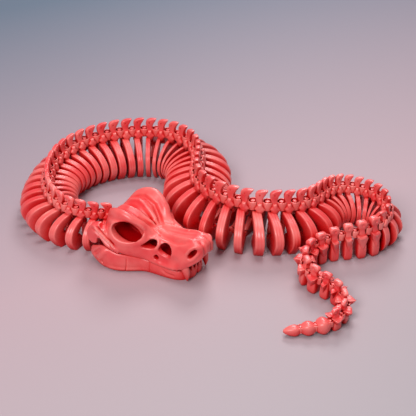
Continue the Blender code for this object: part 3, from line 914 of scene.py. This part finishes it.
def jaw_side(side):
    """One half of the jaw, as an upright bar along its outer line that ends at the middle of the front."""
    front, back = JAW_FRONT
    rings = []
    for x, outer, height, inner in JAW:
        low = between(JAW_LIFT, x)
        shape = (
            (outer - 0.4, low),
            (outer + 0.2, 0.35 * height + 0.3 * (low + 1)),
            (outer - 0.3, 0.8 * height),
            (0.6 * outer + 0.4 * inner, height),
            (0.25 * outer + 0.75 * inner, 0.96 * height),
            (inner, 0.7 * height),
            (inner, low),
        )
        ring = []
        for y, z in shape:
            on_inner_face = y <= inner + 0.1 and x >= JAW_BEND
            ring.append((min(x, back) if on_inner_face else x, side * y, z))
        rings.append(ring)
    height = JAW[-1][2]
    profile = (
        (front, -1),
        (front + 0.3, 0.35 * height),
        (front, 0.8 * height),
        (front - 1.6, height),
        (back + 1.4, 0.96 * height),
        (back, 0.7 * height),
        (back, -1),
    )
    rings.append([(along, -side * 0.6, z) for along, z in profile])
    return skin_over("jaw_side", rings, 2)


def lower_jaw(finish, place):
    """The jaw: two sides in one skin, with its lines and its front teeth, cut off on the floor."""
    body = join([jaw_side(1), jaw_side(-1)], "jaw")
    melt_together(body, 0.5, 2)
    for _, radius, height, line in JAW_LINES:
        stroke(body, line, radius, height)
    cut_at_floor(body)
    teeth = []
    for side in (1, -1):
        for x, y, height in FRONT_TEETH:
            tip = (x + 1.0, side * y * 1.02, height)
            teeth.append(tooth("front_tooth", (x, side * y, TOOTH_ROOT), tip, 1.6, 0.3))
    body = join([body, *teeth], "lower_jaw_print")
    work_on(body)
    bpy.ops.object.shade_smooth_by_angle(angle=math.radians(50))
    body.data.transform(place)
    finish_piece(body, "head", "lower_jaw", finish)


# ---- Materials ----
LAYER_HEIGHT = 0.42 * MM
BAND_SPACING = 0.314  # a wave texture's bands are this far apart, divided by its scale
CORAL_DARK = (0.82, 0.042, 0.048, 1)
CORAL_LIGHT = (0.93, 0.165, 0.150, 1)
# A pale pink painted on sharp edges as a sheen: painted highlight.
EDGE_SHEEN_PINK = (0.95, 0.46, 0.38, 1)
# Painted shade: deep reds for hollows, creases and gaps between parts, darkest in the deepest.
SHADE_RED = (0.70, 0.0, 0.0, 1)
DEEP_SHADE_RED = (0.24, 0.0, 0.004, 1)
FLOOR_FRONT = (0.375, 0.355, 0.375, 1)
# Painted bounce light: a pink glow on the floor.
FLOOR_PINK_BOUNCE = (0.455, 0.335, 0.365, 1)
# Painted shade: the floor darker and bluer behind.
FLOOR_BLUE_SHADE = (0.135, 0.180, 0.240, 1)


def new_group(name, sockets):
    """A node group with the named outputs, and its output node."""
    group = bpy.data.node_groups.new(name, "ShaderNodeTree")
    for socket, kind in sockets:
        group.interface.new_socket(name=socket, in_out="OUTPUT", socket_type=kind)
    return group, group.nodes.new("NodeGroupOutput")


def new_material(name):
    """A material with its node tree and its shader."""
    material = bpy.data.materials.new(name)
    material.use_nodes = True
    return material, material.node_tree, material.node_tree.nodes["Principled BSDF"]


def add_node(tree, kind, **values):
    """A node with its inputs set; an underscore in a name stands for a space."""
    node = tree.nodes.new(kind)
    for name, value in values.items():
        node.inputs[name.replace("_", " ")].default_value = value
    return node


def add_ramp(tree, first, last, *between_them):
    """A colour ramp through (place, colour) stops."""
    node = tree.nodes.new("ShaderNodeValToRGB")
    stops = node.color_ramp.elements
    stops[0].position, stops[0].color = first
    stops[1].position, stops[1].color = last
    for place, colour in between_them:
        stops.new(place).color = colour
    return node


def add_mix(tree):
    """A mix of two colours."""
    node = tree.nodes.new("ShaderNodeMix")
    node.data_type = "RGBA"
    return node


def connect(tree, *pairs):
    """Links each output to its input."""
    for output, target in pairs:
        tree.links.new(output, target)


def print_layers():
    """Faint print layers along the height, and the cloudy change of a silky filament."""
    group, out = new_group("print_layers", (("Height", "NodeSocketFloat"), ("Cloud", "NodeSocketFloat")))
    place = add_node(group, "ShaderNodeTexCoord").outputs["Object"]
    layers = add_node(group, "ShaderNodeTexWave", Distortion=1.2, Detail=1.0, Detail_Scale=0.4)
    layers.bands_direction = "Z"
    layers.inputs["Scale"].default_value = BAND_SPACING / LAYER_HEIGHT
    cloud = add_node(group, "ShaderNodeTexNoise", Scale=46.0, Detail=3.0)
    grain = add_node(group, "ShaderNodeTexNoise", Scale=900.0)
    height = add_node(group, "ShaderNodeMath")
    height.operation = "MULTIPLY_ADD"
    height.inputs[1].default_value = 0.35
    connect(
        group,
        (place, layers.inputs["Vector"]),
        (place, cloud.inputs["Vector"]),
        (place, grain.inputs["Vector"]),
        (grain.outputs["Fac"], height.inputs[0]),
        (layers.outputs["Fac"], height.inputs[2]),
        (height.outputs[0], out.inputs["Height"]),
        (cloud.outputs["Fac"], out.inputs["Cloud"]),
    )
    return group


def silky_pink(name, layers):
    """Silky coral plastic under a soft coat, with painted shade: deep red where ambient occlusion finds
    hollows and gaps, and a painted pale sheen on its edges.
    """
    material, tree, shader = new_material(name)
    group = add_node(tree, "ShaderNodeGroup")
    group.node_tree = layers
    cloud = group.outputs["Cloud"]
    coral = add_ramp(tree, (0.36, CORAL_DARK), (0.66, CORAL_LIGHT))
    edges = add_node(tree, "ShaderNodeNewGeometry")
    # Painted highlight: the mesh's pointiness lays a pale pink sheen on sharp convex edges.
    painted_edge_sheen = add_node(tree, "ShaderNodeMapRange", From_Min=0.505, From_Max=0.60, To_Max=0.45)
    paler = add_mix(tree)
    paler.inputs["B"].default_value = EDGE_SHEEN_PINK
    # Painted shade: ambient occlusion turns hollows, creases and the gaps between parts deep red, darker
    # still in the deepest, and thins the coat there.
    open_air = add_node(tree, "ShaderNodeAmbientOcclusion", Distance=0.020)
    open_air.samples = 8
    painted_shade = add_ramp(tree, (0.04, DEEP_SHADE_RED), (0.30, SHADE_RED))
    out_of_shade = add_node(tree, "ShaderNodeMapRange", From_Min=0.30, From_Max=0.78)
    colour = add_mix(tree)
    sheen = add_node(tree, "ShaderNodeMapRange", To_Max=0.75)
    gloss = add_node(tree, "ShaderNodeMapRange", To_Min=0.33, To_Max=0.44)
    ridges = add_node(tree, "ShaderNodeBump", Strength=0.12, Distance=0.00008)
    connect(
        tree,
        (cloud, coral.inputs["Fac"]),
        (edges.outputs["Pointiness"], painted_edge_sheen.inputs["Value"]),
        (painted_edge_sheen.outputs["Result"], paler.inputs["Factor"]),
        (coral.outputs["Color"], paler.inputs["A"]),
        (open_air.outputs["AO"], out_of_shade.inputs["Value"]),
        (open_air.outputs["AO"], painted_shade.inputs["Fac"]),
        (out_of_shade.outputs["Result"], colour.inputs["Factor"]),
        (painted_shade.outputs["Color"], colour.inputs["A"]),
        (paler.outputs["Result"], colour.inputs["B"]),
        (colour.outputs["Result"], shader.inputs["Base Color"]),
        (out_of_shade.outputs["Result"], sheen.inputs["Value"]),
        (sheen.outputs["Result"], shader.inputs["Coat Weight"]),
        (cloud, gloss.inputs["Value"]),
        (gloss.outputs["Result"], shader.inputs["Roughness"]),
        (group.outputs["Height"], ridges.inputs["Height"]),
        (ridges.outputs["Normal"], shader.inputs["Normal"]),
    )
    shader.inputs["Specular IOR Level"].default_value = 0.25
    shader.inputs["Coat Roughness"].default_value = 0.31
    return material


def pale_floor():
    """A plain, pale sheet with painted light: grey in front, then a pink band of painted bounce light, and
    bluer and darker behind as painted shade.
    """
    material, tree, shader = new_material("pale_floor")
    place = add_node(tree, "ShaderNodeTexCoord")
    turn = add_node(tree, "ShaderNodeMapping", Rotation=(0, 0, math.radians(-118)))
    axes = add_node(tree, "ShaderNodeSeparateXYZ")
    across = add_node(tree, "ShaderNodeMapRange", From_Min=-0.30, From_Max=0.55)
    # Painted light on the floor: a pink band of bounced light, and a darker blue as shade behind.
    tone = add_ramp(tree, (0, FLOOR_FRONT), (1, FLOOR_BLUE_SHADE), (0.34, FLOOR_PINK_BOUNCE))
    connect(
        tree,
        (place.outputs["Object"], turn.inputs["Vector"]),
        (turn.outputs["Vector"], axes.inputs["Vector"]),
        (axes.outputs["X"], across.inputs["Value"]),
        (across.outputs["Result"], tone.inputs["Fac"]),
        (tone.outputs["Color"], shader.inputs["Base Color"]),
    )
    shader.inputs["Roughness"].default_value = 0.6
    put_tools_down()
    bpy.ops.mesh.primitive_plane_add(size=6)
    floor = bpy.context.object
    floor.name = "floor"
    floor.data.materials.append(material)


# ---- Light and camera: lights as name, place, size, power and colour ----
LIGHTS = (
    ("front_light", (-0.45, -0.9, 0.9), 0.5, 10.5, (1.0, 0.96, 0.96)),
    ("top_light", (0.10, 0.10, 1.3), 0.7, 7.0, (1.0, 0.97, 0.97)),
    ("back_light", (0.15, 0.9, 0.9), 0.5, 6.5, (1.0, 0.95, 0.97)),
)
LENS = 79.9
SENSOR = 36.0
CAMERA_PLACE = (-0.00012, -0.59950, 0.4030)
CAMERA_TILT = 57.5  # up from looking straight down


def soft_light(name, place, size, power, colour):
    """A round soft light that faces the middle of the floor."""
    light = bpy.data.lights.new(name, "AREA")
    light.shape = "DISK"
    light.size = size
    light.energy = power
    light.color = colour
    lamp = bpy.data.objects.new(name, light)
    bpy.context.scene.collection.objects.link(lamp)
    lamp.location = place
    lamp.rotation_euler = (-Vector(place)).to_track_quat("-Z", "Y").to_euler()


def studio():
    """A pale surrounding and three soft lights. The view is plain, so that deep reds stay deep."""
    world = bpy.data.worlds.new("studio")
    world.use_nodes = True
    sky = world.node_tree.nodes["Background"]
    sky.inputs["Color"].default_value = (0.86, 0.84, 0.92, 1)
    sky.inputs["Strength"].default_value = 0.30
    bpy.context.scene.world = world
    bpy.context.scene.view_settings.view_transform = "Standard"
    for light in LIGHTS:
        soft_light(*light)


def photo_camera():
    """The camera at the photograph's angle."""
    data = bpy.data.cameras.new("photo_camera")
    data.lens = LENS
    data.sensor_width = SENSOR
    data.clip_start = 0.01
    camera = bpy.data.objects.new("photo_camera", data)
    camera.location = CAMERA_PLACE
    camera.rotation_euler = (math.radians(CAMERA_TILT), 0, 0)
    bpy.context.scene.collection.objects.link(camera)
    bpy.context.scene.camera = camera


photo_camera()
studio()
pale_floor()
print_finish = silky_pink("silky_pink_print", print_layers())
head_place = down_on_floor(*CHAIN_START, math.radians(SKULL_YAW))
skull(print_finish, head_place)
lower_jaw(print_finish, head_place)
spine(print_finish)
put_tools_down()
